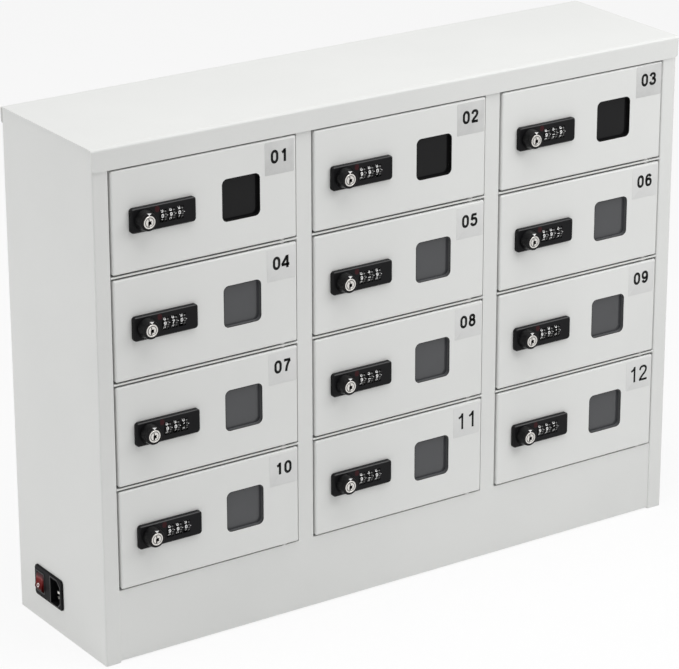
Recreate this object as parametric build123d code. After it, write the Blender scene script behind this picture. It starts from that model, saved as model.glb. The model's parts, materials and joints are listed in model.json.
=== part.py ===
"""Cell phone locker box: a steel cabinet of small locking compartments with a charging supply.

Millimetres. +Z up, doors face -Y, power inlet on the -X side.
The origin is the centre of the base, on the surface that the cabinet stands on.
"""

import math
import os

from build123d import *

# Cabinet
column_count = 3
row_count = 4
cabinet_depth = 147.6  # over the posts and the back panel
plinth_height = 66.2
post_width = 15.0
lip_depth = 14.0  # from a post's front face to the end of its return lip
sheet = 1.2  # folded sheet steel of the carcass
bend_radius = 1.6  # outside of a bend
overcut = 1.0  # how far a cutting shape runs past the face it cuts

# Top cover
cover_overhang = 1.0  # past each side
front_flange = 19.4
rear_flange = 16.0
cover_bend = 2.4
flange_corner = 4.0

# Shelves
shelf_edge = 1.6  # hemmed front edge
shelf_sheet = 1.0
hem_round = 0.6

# Doors
door_width = 177.0
door_height = 88.4
door_depth = 13.0
door_sheet = 1.2
door_gap = 1.5  # between a door and the edges around it
door_proud = 1.0  # door face in front of the end posts
door_round = 1.6
window_size = 37.0
window_corner = 5.0
window_margin = 35.6  # from the window to the door's hinge edge
pane_lap = 4.0  # of the pane behind the door, all round
pane_thickness = 2.0
pane_setback = 3.5  # behind the door's face
seal_lip = 0.5  # of the window seal, inside the window's edge
seal_fit = 0.05  # between the lip and the window's edge

# Hinge pins
pin_radius = 2.0
pin_inset = 12.5  # from the door's hinge edge
pin_clearance = 0.1  # behind the front frame
pin_reach = 6.0  # past a shelf's face
pin_head = 1.5
collar_radius = 3.2
collar_height = 1.2
running_fit = 0.1  # radial, where a piece turns on another
press_fit = 0.05  # radial, where a round piece is held in another

# Lock case
case_length = 61.6
case_height = 21.3
case_proud = 4.0
case_corner = 3.0
case_bevel = 1.1
case_margin = 15.8  # from the case to the door's free edge
body_length = 53.6  # part of the case that passes through the door
body_depth = 12.0  # behind the door's face
body_corner = 1.5
cut_clearance = 0.2  # between the case and the door's cut-out
case_wall = 1.0
clip_lap = 4.0
clip_thickness = 1.0
back_plate = 1.0

# Number wheels
wheel_count = 3
wheel_radius = 7.7
wheel_proud = 0.8
wheel_width = 6.0
wheel_pitch = 8.0
first_wheel = 29.9  # from the case's free end to the first wheel's middle
wheel_gap = 0.4  # around a wheel
tooth_band = 1.6
tooth_depth = 0.6
tooth_count = 20
axle_radius = 1.4
axle_seat = 1.0

# Knob, key cylinder and cam
knob_offset = 12.0  # from the case's free end to the knob's axis
knob_base_radius = 8.9
knob_face_radius = 7.5
knob_length = 8.0
knob_round = 0.5
knob_gap = 0.4
core_radius = 5.4
core_depth = 6.0
core_proud = 0.3
key_slot_length = 6.8
key_slot_width = 1.5
key_slot_depth = 4.0
key_slot_offset = 0.7  # from the knob's axis towards the case's free end
ward_length = 3.2  # groove beside the key slot
ward_reach = 2.0  # from the knob's axis
ward_drop = 0.4  # of the ward's middle
spindle_radius = 4.0
cam_square = 5.6
cam_reach = 34.5  # from the knob's axis to the cam's tip
cam_width = 10.0
cam_round = 3.3
cam_thickness = 2.0
cam_hub_radius = 7.5
cam_gap = 0.5  # behind the post's lip when locked
stud_radius = 2.5
nut_across = 9.0
nut_height = 3.0
stud_relief = 0.8  # of the stud past the nut

# Wall fixing holes in the back panel
fixing_radius = 3.5
fixing_inset = 45.0  # from the outer columns' middles towards the sides

# Power inlet
inlet_length = 47.2  # along Y
inlet_height = 28.5
inlet_thickness = 2.0
inlet_corner = 3.4
inlet_bevel = 0.7
inlet_body_length = 44.6
inlet_body_height = 26.4
inlet_body_depth = 32.0
inlet_setback = 96.2  # from the top cover's front to the inlet's middle
inlet_centre_height = 37.3
socket_length = 24.0  # upright
socket_width = 16.0
socket_chamfer = 4.6
socket_depth = 17.0
socket_offset = 12.6  # from the inlet's middle towards the front
contact_width = 4.0
contact_thickness = 2.0
contact_length = 12.4
earth_length = 14.6
contact_spread = 7.0
contact_offset = 2.0

# Rocker switch
rocker_length = 16.4  # upright
rocker_width = 11.4
rocker_gap = 0.5
rocker_offset = 13.4  # from the inlet's middle towards the back
rocker_crown = 2.2  # ends past the bezel, with the rocker level
rocker_dish = 1.0
rocker_depth = 7.0
rocker_pivot = 3.0  # behind the bezel's face
rocker_round = 3.6  # of its ends
rocker_tilt = 10.0  # degrees each way from level
rocker_well = 12.0
rocker_pin_radius = 1.0
rocker_seat = 1.4  # from the rocker's side to the end of its pivot hole

# Charging equipment
strip_width = 34.0
strip_depth = 18.0
strip_clearance = 0.5
strip_tail = 14.0  # below the deck
strip_head = 24.0  # above the middle of the top row
strip_round = 2.0
port_width = 13.2
port_height = 6.0
port_depth = 9.0
supply_length = 170.0
supply_depth = 84.0
supply_height = 42.0
supply_round = 3.0

# Derived sizes
opening_width = door_width + 2 * door_gap
column_pitch = opening_width + post_width
row_pitch = door_height + 2 * door_gap + shelf_edge
half_width = (column_count * column_pitch + post_width) / 2
openings_top = plinth_height + row_count * row_pitch - shelf_edge
cabinet_height = openings_top + front_flange
cover_underside = cabinet_height - sheet
cover_half = half_width + cover_overhang
front = -cabinet_depth / 2
back = cabinet_depth / 2
cover_front = front - sheet
frame_front = front + sheet  # plinth and centre posts stand one sheet behind the end posts
frame_back = front + 2 * sheet
lip_end = front + lip_depth
inner_back = back - sheet
strip_front = inner_back - strip_depth
door_face = front - door_proud
pin_y = frame_back + pin_clearance + pin_radius

# Derived sizes of a door and its lock, from the middle of the door's face
window_x = door_width / 2 - window_margin - window_size / 2
case_end = case_margin - door_width / 2
case_x = case_end + case_length / 2
knob_x = case_end + knob_offset
case_face = -case_proud
wheel_y = case_face - wheel_proud + wheel_radius
wheel_window = math.sqrt((wheel_radius + wheel_gap) ** 2 - (wheel_y - case_face - case_wall) ** 2)
body_height = 2 * (wheel_radius + wheel_gap + case_wall)
knob_base = case_face - knob_gap
knob_face = knob_base - knob_length
core_face = knob_face - core_proud
cam_front = lip_end + cam_gap - door_face
cam_back = cam_front + cam_thickness

# Derived sizes of the inlet and its switch
inlet_y = cover_front + inlet_setback
bezel_face = -half_width - inlet_thickness
inlet_back = inlet_body_depth - half_width
rocker_x = bezel_face + rocker_pivot
rocker_y = inlet_y + rocker_offset


def column_x(column):
    return (column - (column_count - 1) / 2) * column_pitch


def row_z(row):
    return openings_top - door_gap - door_height / 2 - row * row_pitch


def block(x, y, z):
    """A box between three pairs of limits."""
    size = (x[1] - x[0], y[1] - y[0], z[1] - z[0])
    return Pos(x[0], y[0], z[0]) * Box(*size, align=(Align.MIN, Align.MIN, Align.MIN))


def slab(width, height, y, corner=0.0):
    """An upright plate that faces -Y, centred on the Y axis, with rounded corners."""
    outline = RectangleRounded(width, height, corner) if corner else Rectangle(width, height)
    return extrude(Plane((0, y[1], 0), x_dir=(1, 0, 0), z_dir=(0, -1, 0)) * outline, y[1] - y[0])


def rod_x(radius, x, y=0.0, z=0.0):
    return Pos((x[0] + x[1]) / 2, y, z) * Rot(0, 90, 0) * Cylinder(radius, x[1] - x[0])


def rod_y(radius, y, x=0.0, z=0.0):
    return Pos(x, (y[0] + y[1]) / 2, z) * Rot(90, 0, 0) * Cylinder(radius, y[1] - y[0])


def rod_z(radius, z, x=0.0, y=0.0):
    return Pos(x, y, (z[0] + z[1]) / 2) * Cylinder(radius, z[1] - z[0])


def opening(column):
    """Left and right edge of a column's door opening."""
    return column_x(column) - opening_width / 2, column_x(column) + opening_width / 2


def bay(column):
    """Left and right inner wall of a column: a side panel or the face of a divider."""
    left = column_x(column) - column_pitch / 2 + sheet / 2
    right = column_x(column) + column_pitch / 2 - sheet / 2
    if column == 0:
        left = sheet - half_width
    if column == column_count - 1:
        right = half_width - sheet
    return left, right


def hinge_x(column):
    return column_x(column) + door_width / 2 - pin_inset


def wheel_x(wheel):
    return case_end + first_wheel + wheel * wheel_pitch


def column_seam(column):
    """Middle of the post between this column and the next."""
    return column_x(column) + column_pitch / 2


def strip_slot(z):
    """Clearance through a shelf for one charging strip, before it is moved to its column."""
    half = strip_width / 2 + strip_clearance
    return block((-half, half), (strip_front - strip_clearance, inner_back + overcut), z)


# Carcass


def top_cover():
    width = (-cover_half, cover_half)
    plate = block(width, (cover_front, -cover_front), (cover_underside, cabinet_height))
    plate += block(width, (cover_front, front), (openings_top, cover_underside))
    plate += block(width, (back, -cover_front), (cabinet_height - rear_flange, cover_underside))
    bends = plate.edges().filter_by(Axis.X).group_by(Axis.Z)[-1]
    plate = fillet(bends, cover_bend)
    corners = plate.edges().filter_by(Axis.Y)
    corners = corners.filter_by(lambda edge: edge.center().Z < cover_underside - cover_bend)
    corners = corners.filter_by(lambda edge: abs(edge.center().X) > cover_half - sheet)
    return fillet(corners, flange_corner)


def left_side():
    wall = block((-half_width, sheet - half_width), (front, back), (0, cover_underside))
    face = block((-half_width, post_width - half_width), (front, frame_front), (0, cover_underside))
    lip_x = post_width - half_width
    lip = block((lip_x - sheet, lip_x), (front, lip_end), (0, cover_underside))
    side = wall + face + lip
    bends = side.edges().filter_by(Axis.Z).group_by(Axis.Y)[0]
    side = fillet(bends, bend_radius)
    half_length = inlet_body_length / 2 + cut_clearance
    half_height = inlet_body_height / 2 + cut_clearance
    cut = block(
        (-half_width - overcut, sheet - half_width + overcut),
        (inlet_y - half_length, inlet_y + half_length),
        (inlet_centre_height - half_height, inlet_centre_height + half_height),
    )
    return side - cut


def right_side():
    lip_x = half_width - post_width
    side = block((half_width - sheet, half_width), (front, back), (0, cover_underside))
    side += block((lip_x, half_width), (front, frame_front), (0, cover_underside))
    side += block((lip_x, lip_x + sheet), (front, lip_end), (0, cover_underside))
    return fillet(side.edges().filter_by(Axis.Z).group_by(Axis.Y)[0], bend_radius)


def back_panel():
    width = 2 * (half_width - sheet)
    height = cover_underside - sheet
    panel = Pos(0, 0, sheet + height / 2) * slab(width, height, (inner_back, back))
    fixing_x = column_x(column_count - 1) + fixing_inset
    for x in (-fixing_x, fixing_x):
        for z in (row_z(0), row_z(row_count - 1)):
            panel -= rod_y(fixing_radius, (inner_back - overcut, back + overcut), x, z)
    return panel


def base_pan():
    return block((sheet - half_width, half_width - sheet), (lip_end, back), (0, sheet))


def front_frame():
    """Plinth, top rail and centre posts from one sheet, with lips folded back around the openings."""
    inner = half_width - post_width
    frame = block((-inner, inner), (frame_front, frame_back), (sheet, cover_underside))
    for column in range(column_count):
        x = opening(column)
        frame -= block(x, (front, lip_end), (plinth_height, openings_top))
        frame += block(x, (frame_front, lip_end), (plinth_height - sheet, plinth_height))
        frame += block(x, (frame_front, lip_end), (openings_top, openings_top + sheet))
        for z in (plinth_height - sheet / 2, openings_top + sheet / 2):
            frame -= rod_z(pin_radius + press_fit, (z - overcut, z + overcut), hinge_x(column), pin_y)
    lip_z = (plinth_height - sheet, openings_top + sheet)
    for column in range(column_count - 1):
        seam = column_seam(column)
        for x in (seam - post_width / 2, seam + post_width / 2 - sheet):
            frame += block((x, x + sheet), (frame_front, lip_end), lip_z)
    return frame


def dividers():
    plates = []
    for column in range(column_count - 1):
        seam = column_seam(column)
        x = (seam - sheet / 2, seam + sheet / 2)
        plates.append(block(x, (frame_back, inner_back), (plinth_height, cover_underside)))
    return plates


def shelves():
    """Deck over the plinth, and one shelf below each door except the lowest."""
    width = (sheet - half_width, half_width - sheet)
    deck = block(width, (lip_end, inner_back), (plinth_height - sheet, plinth_height))
    for column in range(column_count):
        slot_z = (plinth_height - sheet - overcut, plinth_height + overcut)
        deck -= Pos(column_x(column)) * strip_slot(slot_z)
    plates = [deck]
    for row in range(row_count - 1):
        top = row_z(row) - door_height / 2 - door_gap
        for column in range(column_count):
            plate = block(opening(column), (front, lip_end), (top - shelf_edge, top))
            hem = plate.edges().filter_by(Axis.X).group_by(Axis.Y)[0]
            plate = fillet(hem, hem_round)
            plate += block(bay(column), (lip_end, inner_back), (top - shelf_sheet, top))
            through = (top - shelf_edge - overcut, top + overcut)
            plate -= Pos(column_x(column)) * strip_slot(through)
            plate -= rod_z(pin_radius + press_fit, through, hinge_x(column), pin_y)
            plates.append(plate)
    return plates


def hinge_pin(low, high, below, above):
    """A pin held by the sheet between low and high. It carries a door below it, above it or both."""
    down = pin_reach if below else pin_head
    up = pin_reach if above else pin_head
    pin = rod_z(pin_radius, (low - down, high + up))
    if below:
        pin += rod_z(collar_radius, (low - collar_height, low))
    if above:
        pin += rod_z(collar_radius, (high, high + collar_height))
    return pin


def hinge_pins():
    pins = []
    for column in range(column_count):
        place = Pos(hinge_x(column), pin_y, 0)
        pins.append(place * hinge_pin(plinth_height - sheet, plinth_height, False, True))
        pins.append(place * hinge_pin(openings_top, openings_top + sheet, True, False))
        for row in range(row_count - 1):
            top = row_z(row) - door_height / 2 - door_gap
            pins.append(place * hinge_pin(top - shelf_edge, top, True, True))
    return pins


# Door and lock. Each is modelled about the middle of the door's face and then moved to its place.


def door():
    """Folded pan, the seal in its window, and the smoked pane that sits against the seal."""
    pan = Pos(0, door_depth / 2, 0) * Box(door_width, door_depth, door_height)
    edges = pan.edges().group_by(Axis.Y)[0] + pan.edges().filter_by(Axis.Y)
    pan = fillet(edges, door_round)
    pan -= block(
        (door_sheet - door_width / 2, door_width / 2 - door_sheet),
        (door_sheet, door_depth + overcut),
        (door_sheet - door_height / 2, door_height / 2 - door_sheet),
    )
    through = (-overcut, door_sheet + overcut)
    pan -= Pos(window_x) * slab(window_size, window_size, through, window_corner)
    cut_length = body_length + 2 * cut_clearance
    cut_height = body_height + 2 * cut_clearance
    pan -= Pos(case_x) * slab(cut_length, cut_height, through, body_corner + cut_clearance)
    pin_x = door_width / 2 - pin_inset
    pan -= rod_z(pin_radius + running_fit, (-door_height, door_height), pin_x, pin_y - door_face)
    pane_size = window_size + 2 * pane_lap
    pane_y = (pane_setback, pane_setback + pane_thickness)
    pane = Pos(window_x) * slab(pane_size, pane_size, pane_y, window_corner)
    seal = slab(pane_size, pane_size, (door_sheet, pane_setback), window_corner)
    lip_size = window_size - 2 * seal_fit
    seal += slab(lip_size, lip_size, (0, pane_setback), window_corner - seal_fit)
    clear_size = window_size - 2 * seal_lip
    seal -= slab(clear_size, clear_size, (-overcut, pane_setback + overcut), window_corner - seal_lip)
    return [pan, Pos(window_x) * seal, pane]


def lock_case():
    """Case with its wheel chamber, back plate, wheel axle and the clip that holds it in the door."""
    middle = Pos(case_x)
    case = slab(case_length, case_height, (case_face, 0), case_corner)
    case = chamfer(case.edges().group_by(Axis.Y)[0], case_bevel)
    case = middle * (case + slab(body_length, body_height, (0, body_depth), body_corner))
    half = wheel_width / 2 + wheel_gap
    chamber = (wheel_x(0) - half, wheel_x(wheel_count - 1) + half)
    inside = body_height / 2 - case_wall
    case -= block(chamber, (case_face + case_wall, body_depth), (-inside, inside))
    for wheel in range(wheel_count):
        x = (wheel_x(wheel) - half, wheel_x(wheel) + half)
        face = (case_face - overcut, case_face + case_wall + overcut)
        case -= block(x, face, (-wheel_window, wheel_window))
    axle_x = (chamber[0] - axle_seat, chamber[1] + axle_seat)
    case -= rod_x(axle_radius + press_fit, axle_x, wheel_y)
    axle = rod_x(axle_radius, axle_x, wheel_y)
    bore_y = (case_face - overcut, body_depth + back_plate + overcut)
    bore = rod_y(spindle_radius + running_fit, bore_y, knob_x)
    plate = middle * slab(body_length, body_height, (body_depth, body_depth + back_plate), body_corner)
    clip_y = (door_sheet, door_sheet + clip_thickness)
    clip = slab(body_length + 2 * clip_lap, body_height + 2 * clip_lap, clip_y, body_corner + clip_lap)
    cut = (body_length + 2 * cut_clearance, body_height + 2 * cut_clearance)
    clip = middle * (clip - slab(*cut, clip_y, body_corner + cut_clearance))
    return [case - bore, plate - bore, axle, clip]


def number_wheels():
    """Wheels with a number band, and a toothed band for the finger on its right."""
    wheels = []
    for wheel in range(wheel_count):
        left = wheel_x(wheel) - wheel_width / 2
        right = left + wheel_width
        band = right - tooth_band
        body = rod_x(wheel_radius - tooth_depth, (left, band), wheel_y)
        teeth = rod_x(wheel_radius, (band, right), wheel_y)
        for tooth in range(tooth_count):
            turn = Pos(0, wheel_y, 0) * Rot(tooth * 360 / tooth_count, 0, 0)
            teeth -= turn * rod_x(tooth_depth, (band - overcut, right + overcut), 0, wheel_radius)
        body += teeth
        body -= rod_x(axle_radius + running_fit, (left - overcut, right + overcut), wheel_y)
        wheels.append(body)
    return wheels


def knob():
    """Turn knob, key cylinder with its spindle, cam and cam nut, unlocked: the cam points up."""
    cone = Cone(knob_base_radius, knob_face_radius, knob_length)
    grip = Pos(knob_x, (knob_base + knob_face) / 2, 0) * Rot(90, 0, 0) * cone
    grip = fillet(grip.edges().group_by(Axis.Y)[0], knob_round)
    grip -= rod_y(core_radius + press_fit, (core_face - overcut, core_face + core_depth), knob_x)
    grip -= rod_y(spindle_radius + press_fit, (core_face, knob_base + overcut), knob_x)
    core = rod_y(core_radius, (core_face, core_face + core_depth), knob_x)
    core += rod_y(spindle_radius, (core_face, cam_front), knob_x)
    core += Pos(knob_x) * slab(cam_square, cam_square, (cam_front, cam_back))
    core += rod_y(stud_radius, (cam_back, cam_back + nut_height + stud_relief), knob_x)
    slot_y = (core_face - overcut, core_face + key_slot_depth)
    slot_x = knob_x - key_slot_offset
    ward_z = (-ward_drop - ward_length / 2, -ward_drop + ward_length / 2)
    core -= Pos(slot_x) * slab(key_slot_width, key_slot_length, slot_y)
    core -= block((slot_x, knob_x + ward_reach), slot_y, ward_z)
    y = (cam_front, cam_back)
    cam = Pos(knob_x, 0, cam_reach / 2) * slab(cam_width, cam_reach, y)
    cam = fillet(cam.edges().filter_by(Axis.Y).group_by(Axis.Z)[-1], cam_round)
    cam += rod_y(cam_hub_radius, y, knob_x)
    cam -= Pos(knob_x) * slab(cam_square, cam_square, (cam_front - overcut, cam_back + overcut))
    nut_back = cam_back + nut_height
    hexagon = RegularPolygon(nut_across / 2, 6, major_radius=False)
    nut = extrude(Plane((0, nut_back, 0), x_dir=(1, 0, 0), z_dir=(0, -1, 0)) * hexagon, nut_height)
    nut -= rod_y(stud_radius + press_fit, (cam_back - overcut, nut_back + overcut))
    nut = Pos(knob_x) * nut
    return [grip, core, cam, nut]


# Power inlet and charging equipment


def side_slab(length, height, x, corner=0.0):
    """A plate that faces -X, centred on the inlet, with rounded corners."""
    outline = RectangleRounded(length, height, corner) if corner else Rectangle(length, height)
    plane = Plane((x[1], inlet_y, inlet_centre_height), x_dir=(0, -1, 0), z_dir=(-1, 0, 0))
    return extrude(plane * outline, x[1] - x[0])


def power_inlet():
    """Snap-in housing with an appliance socket and a switch well, and the socket's three contacts."""
    bezel = side_slab(inlet_length, inlet_height, (bezel_face, -half_width), inlet_corner)
    bezel = chamfer(bezel.edges().group_by(Axis.X)[0], inlet_bevel)
    housing = bezel + side_slab(inlet_body_length, inlet_body_height, (-half_width, inlet_back))
    mouth = bezel_face - overcut
    socket_x = (mouth, bezel_face + socket_depth)
    socket = Pos(0, -socket_offset, 0) * side_slab(socket_width, socket_length, socket_x)
    corners = socket.edges().filter_by(Axis.X).group_by(Axis.Y)[0]
    housing -= chamfer(corners, socket_chamfer)
    well_size = (rocker_width + 2 * rocker_gap, rocker_length + 2 * rocker_gap)
    housing -= Pos(0, rocker_offset, 0) * side_slab(*well_size, (mouth, bezel_face + rocker_well))
    trunnion = (rocker_y - rocker_width / 2 - rocker_seat, rocker_y + rocker_width / 2 + rocker_seat)
    housing -= rod_y(rocker_pin_radius + running_fit, trunnion, rocker_x, inlet_centre_height)
    contacts = []
    bottom = bezel_face + socket_depth
    earth = (-contact_offset, 0, earth_length)
    live = (contact_offset, contact_spread, contact_length)
    neutral = (contact_offset, -contact_spread, contact_length)
    for y, z, length in (earth, live, neutral):
        middle = (inlet_y - socket_offset + y, inlet_centre_height + z)
        contacts.append(
            block(
                (bottom - length, bottom),
                (middle[0] - contact_width / 2, middle[0] + contact_width / 2),
                (middle[1] - contact_thickness / 2, middle[1] + contact_thickness / 2),
            )
        )
    return [housing] + contacts


def rocker_switch():
    """Rocker with a shallow dish in its face and a trunnion each side, tilted with its lower end out."""
    half = rocker_length / 2
    face = bezel_face - rocker_crown
    outline = Polyline(
        (face, half),
        (face + rocker_dish, 0),
        (face, -half),
        (face + rocker_depth, -half),
        (face + rocker_depth, half),
        close=True,
    )
    plane = Plane((0, rocker_y + rocker_width / 2, inlet_centre_height), x_dir=(1, 0, 0), z_dir=(0, -1, 0))
    rocker = extrude(plane * make_face(outline), rocker_width)
    rocker = fillet(rocker.edges().filter_by(Axis.Y).group_by(Axis.X)[0], rocker_round)
    reach = rocker_width / 2 + rocker_seat - rocker_gap / 2
    rocker += rod_y(rocker_pin_radius, (rocker_y - reach, rocker_y + reach), rocker_x, inlet_centre_height)
    pivot = Pos(rocker_x, rocker_y, inlet_centre_height)
    return pivot * Rot(0, rocker_tilt, 0) * pivot.inverse() * rocker


def charger():
    """Supply block on the base pan, and a strip of charging ports up the back of each column."""
    supply = block(
        (-supply_length / 2, supply_length / 2),
        (-supply_depth / 2, supply_depth / 2),
        (sheet, sheet + supply_height),
    )
    supply = fillet(supply.edges().filter_by(Axis.Z), supply_round)
    pieces = [supply]
    top = row_z(0) + strip_head
    bottom = plinth_height - sheet - strip_tail
    for column in range(column_count):
        x = column_x(column)
        strip = block((x - strip_width / 2, x + strip_width / 2), (strip_front, inner_back), (bottom, top))
        strip = fillet(strip.edges().filter_by(Axis.Z).group_by(Axis.Y)[0], strip_round)
        for row in range(row_count):
            port_y = (strip_front - overcut, strip_front + port_depth)
            strip -= Pos(x, 0, row_z(row)) * slab(port_width, port_height, port_y)
        pieces.append(strip)
    return pieces


def save(name, pieces):
    """Writes one node: each piece stays a solid of its own."""
    solids = [solid for piece in pieces for solid in piece.solids()]
    export_step(Compound(solids), os.path.join("parts", name + ".step"))


def main():
    os.makedirs("parts", exist_ok=True)
    save("top_cover", [top_cover()])
    save("left_side", [left_side()])
    save("right_side", [right_side()])
    save("back_panel", [back_panel()])
    save("base_pan", [base_pan()])
    save("front_frame", [front_frame()])
    save("dividers", dividers())
    save("shelves", shelves())
    save("hinge_pins", hinge_pins())
    save("power_inlet", power_inlet())
    save("rocker_switch", [rocker_switch()])
    save("charger", charger())
    fittings = {"door": door(), "lock_case": lock_case(), "number_wheels": number_wheels(), "knob": knob()}
    for row in range(row_count):
        for column in range(column_count):
            number = row * column_count + column + 1
            place = Pos(column_x(column), door_face, row_z(row))
            for name, pieces in fittings.items():
                save(f"{name}_{number:02d}", [place * piece for piece in pieces])


main()
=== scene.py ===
import json
import math

import bmesh
import bpy
from mathutils import Matrix, Vector


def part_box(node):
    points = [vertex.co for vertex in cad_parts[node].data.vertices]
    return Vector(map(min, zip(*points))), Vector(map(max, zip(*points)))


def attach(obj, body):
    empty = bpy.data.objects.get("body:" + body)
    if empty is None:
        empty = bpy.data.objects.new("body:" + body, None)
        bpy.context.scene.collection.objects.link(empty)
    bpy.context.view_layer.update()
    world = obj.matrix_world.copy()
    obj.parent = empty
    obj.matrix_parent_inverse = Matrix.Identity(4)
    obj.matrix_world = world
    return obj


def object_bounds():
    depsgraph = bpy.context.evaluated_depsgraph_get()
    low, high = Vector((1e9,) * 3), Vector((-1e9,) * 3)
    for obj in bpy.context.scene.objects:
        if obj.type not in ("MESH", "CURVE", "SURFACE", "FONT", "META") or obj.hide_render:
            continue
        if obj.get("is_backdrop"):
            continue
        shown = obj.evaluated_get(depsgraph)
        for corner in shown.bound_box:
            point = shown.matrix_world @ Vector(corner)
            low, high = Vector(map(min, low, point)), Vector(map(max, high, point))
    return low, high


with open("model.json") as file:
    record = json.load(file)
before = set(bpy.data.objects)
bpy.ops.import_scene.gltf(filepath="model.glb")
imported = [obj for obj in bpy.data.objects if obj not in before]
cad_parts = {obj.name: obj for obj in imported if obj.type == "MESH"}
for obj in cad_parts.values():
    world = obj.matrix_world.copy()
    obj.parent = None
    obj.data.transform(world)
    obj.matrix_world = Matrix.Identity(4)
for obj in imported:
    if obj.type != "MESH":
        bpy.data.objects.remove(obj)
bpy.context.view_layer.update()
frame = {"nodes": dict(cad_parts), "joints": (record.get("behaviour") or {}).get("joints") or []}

mm = 0.001
nodes = frame["nodes"]
doorIds = sorted(name[-2:] for name in nodes if name.startswith("door_"))


def middleOf(node):
    low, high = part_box(node)
    return (low + high) / 2


columnPitch = middleOf("door_02").x - middleOf("door_01").x
rowPitch = middleOf("door_01").z - middleOf("door_04").z
print("frame loaded:", len(nodes), "nodes,", len(doorIds), "doors")


# Shaders: a value is a socket that can be used in Python sums.

class Value:
    def __init__(self, shader, socket):
        self.shader = shader
        self.socket = socket

    def calc(self, operation, *values):
        return self.shader.node("ShaderNodeMath", {"operation": operation}, dict(enumerate(values)))

    def __add__(self, other):
        return self.calc("ADD", self, other)

    def __sub__(self, other):
        return self.calc("SUBTRACT", self, other)

    def __rsub__(self, other):
        return self.calc("SUBTRACT", other, self)

    def __mul__(self, other):
        return self.calc("MULTIPLY", self, other)

    def __truediv__(self, other):
        return self.calc("DIVIDE", self, other)

    def __lt__(self, other):
        return self.calc("LESS_THAN", self, other)

    def __gt__(self, other):
        return self.calc("GREATER_THAN", self, other)

    def __pow__(self, other):
        return self.calc("POWER", self, other)

    def __abs__(self):
        return self.calc("ABSOLUTE", self)

    def wrap(self, half):
        return self.calc("WRAP", self, half, -half)

    def atLeast(self, other):
        return self.calc("MAXIMUM", self, other)

    def blend(self, other, share):  # share is how much the other gets
        return self * (1 - share) + other * share

    def about(self, middle, swing):  # for a pattern, which lies about 0.5
        return (self - 0.5) * swing + middle

    __radd__ = __add__
    __rmul__ = __mul__


class Shader:
    def __init__(self, name, kind="Material"):  # kind is Material or World
        library = bpy.data.worlds if kind == "World" else bpy.data.materials
        self.kind = kind
        self.owner = library.new(name)
        self.owner.use_nodes = True
        self.tree = self.owner.node_tree
        self.tree.nodes.clear()
        self.place = self.node("ShaderNodeTexCoord", out="Object")
        split = self.node("ShaderNodeSeparateXYZ", inputs={"Vector": self.place})
        self.x, self.y, self.z = (Value(self, split.socket.node.outputs[axis]) for axis in "XYZ")

    def node(self, kind, settings=None, inputs=None, out=0):
        made = self.tree.nodes.new(kind)
        for key, setting in (settings or {}).items():
            if key == "stops":
                ramp = made.color_ramp.elements
                while len(ramp) < len(setting):
                    ramp.new(0.5)
                for stop, (position, colour) in zip(ramp, setting):
                    stop.position = position
                    stop.color = (*colour, 1)
            else:
                setattr(made, key, setting)
        for key, value in (inputs or {}).items():
            if isinstance(value, Value):
                self.tree.links.new(value.socket, made.inputs[key])
            else:
                made.inputs[key].default_value = value
        return Value(self, made.outputs[out] if made.outputs else None)

    def noise(self, size, detail=2.0, stretch=(1, 1, 1)):  # size of the blotches in mm
        place = self.place
        if stretch != (1, 1, 1):
            place = self.node("ShaderNodeMapping", None, {"Vector": place, "Scale": stretch})
        inputs = {"Vector": place, "Scale": 1 / (size * mm), "Detail": detail}
        return self.node("ShaderNodeTexNoise", None, inputs)

    def mix(self, factor, first, second):  # two colours
        first, second = ((*c, 1) if isinstance(c, tuple) else c for c in (first, second))
        return self.node("ShaderNodeMix", {"data_type": "RGBA"}, {0: factor, 6: first, 7: second}, out=2)

    def bump(self, height, depth, strength=0.5):  # depth in mm
        inputs = {"Height": height, "Distance": depth * mm, "Strength": strength}
        return self.node("ShaderNodeBump", None, inputs)

    def surface(self, inputs):
        return self.node("ShaderNodeBsdfPrincipled", None, inputs)

    def either(self, mask, first, second):  # second surface where the mask is 1
        return self.node("ShaderNodeMixShader", None, {0: mask, 1: first, 2: second})

    def within(self, low, high):  # 1 inside a box, with corners in mm
        mask = 1.0
        for axis, start, end in zip((self.x, self.y, self.z), low, high):
            mask = (abs(axis - (start + end) / 2 * mm) < (end - start) / 2 * mm) * mask
        return mask

    def rounded(self, across, up, half, corner):  # 1 inside a square with round corners, in mm
        past = [(abs(side) - (half - corner) * mm).atLeast(0) for side in (across, up)]
        return (past[0] ** 2 + past[1] ** 2) ** 0.5 < corner * mm

    def fromDoor(self, x=0.0, z=0.0):  # sideways and upright distance from a point of the nearest door
        middle = middleOf("door_01")
        return (
            (self.x - (middle.x + x * mm)).wrap(columnPitch / 2),
            (self.z - (middle.z + z * mm)).wrap(rowPitch / 2),
        )

    def done(self, surface):
        self.node("ShaderNodeOutput" + self.kind, None, {"Surface": surface})
        return self.owner


# Finishes: the sizes and depths of their patterns are in mm.

powderLook = {
    "cloud": 130, "speck": 0.55, "speckShare": 0.4, "contrast": 2.5,
    "peel": 1.5, "speckHeight": 0.25, "depth": 0.03, "bump": 0.6,
    "roughness": 0.44, "swing": 0.16,
}
carcassTones = {"shade": (0.715, 0.722, 0.708), "light": (0.765, 0.77, 0.755)}
doorTones = {"shade": (0.735, 0.742, 0.728), "light": (0.785, 0.79, 0.775)}
# The gap tones are painted shade for faces seen only through the gaps.
gapShadeTones = {"shade": (0.4, 0.405, 0.395), "light": (0.46, 0.465, 0.455)}


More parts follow.
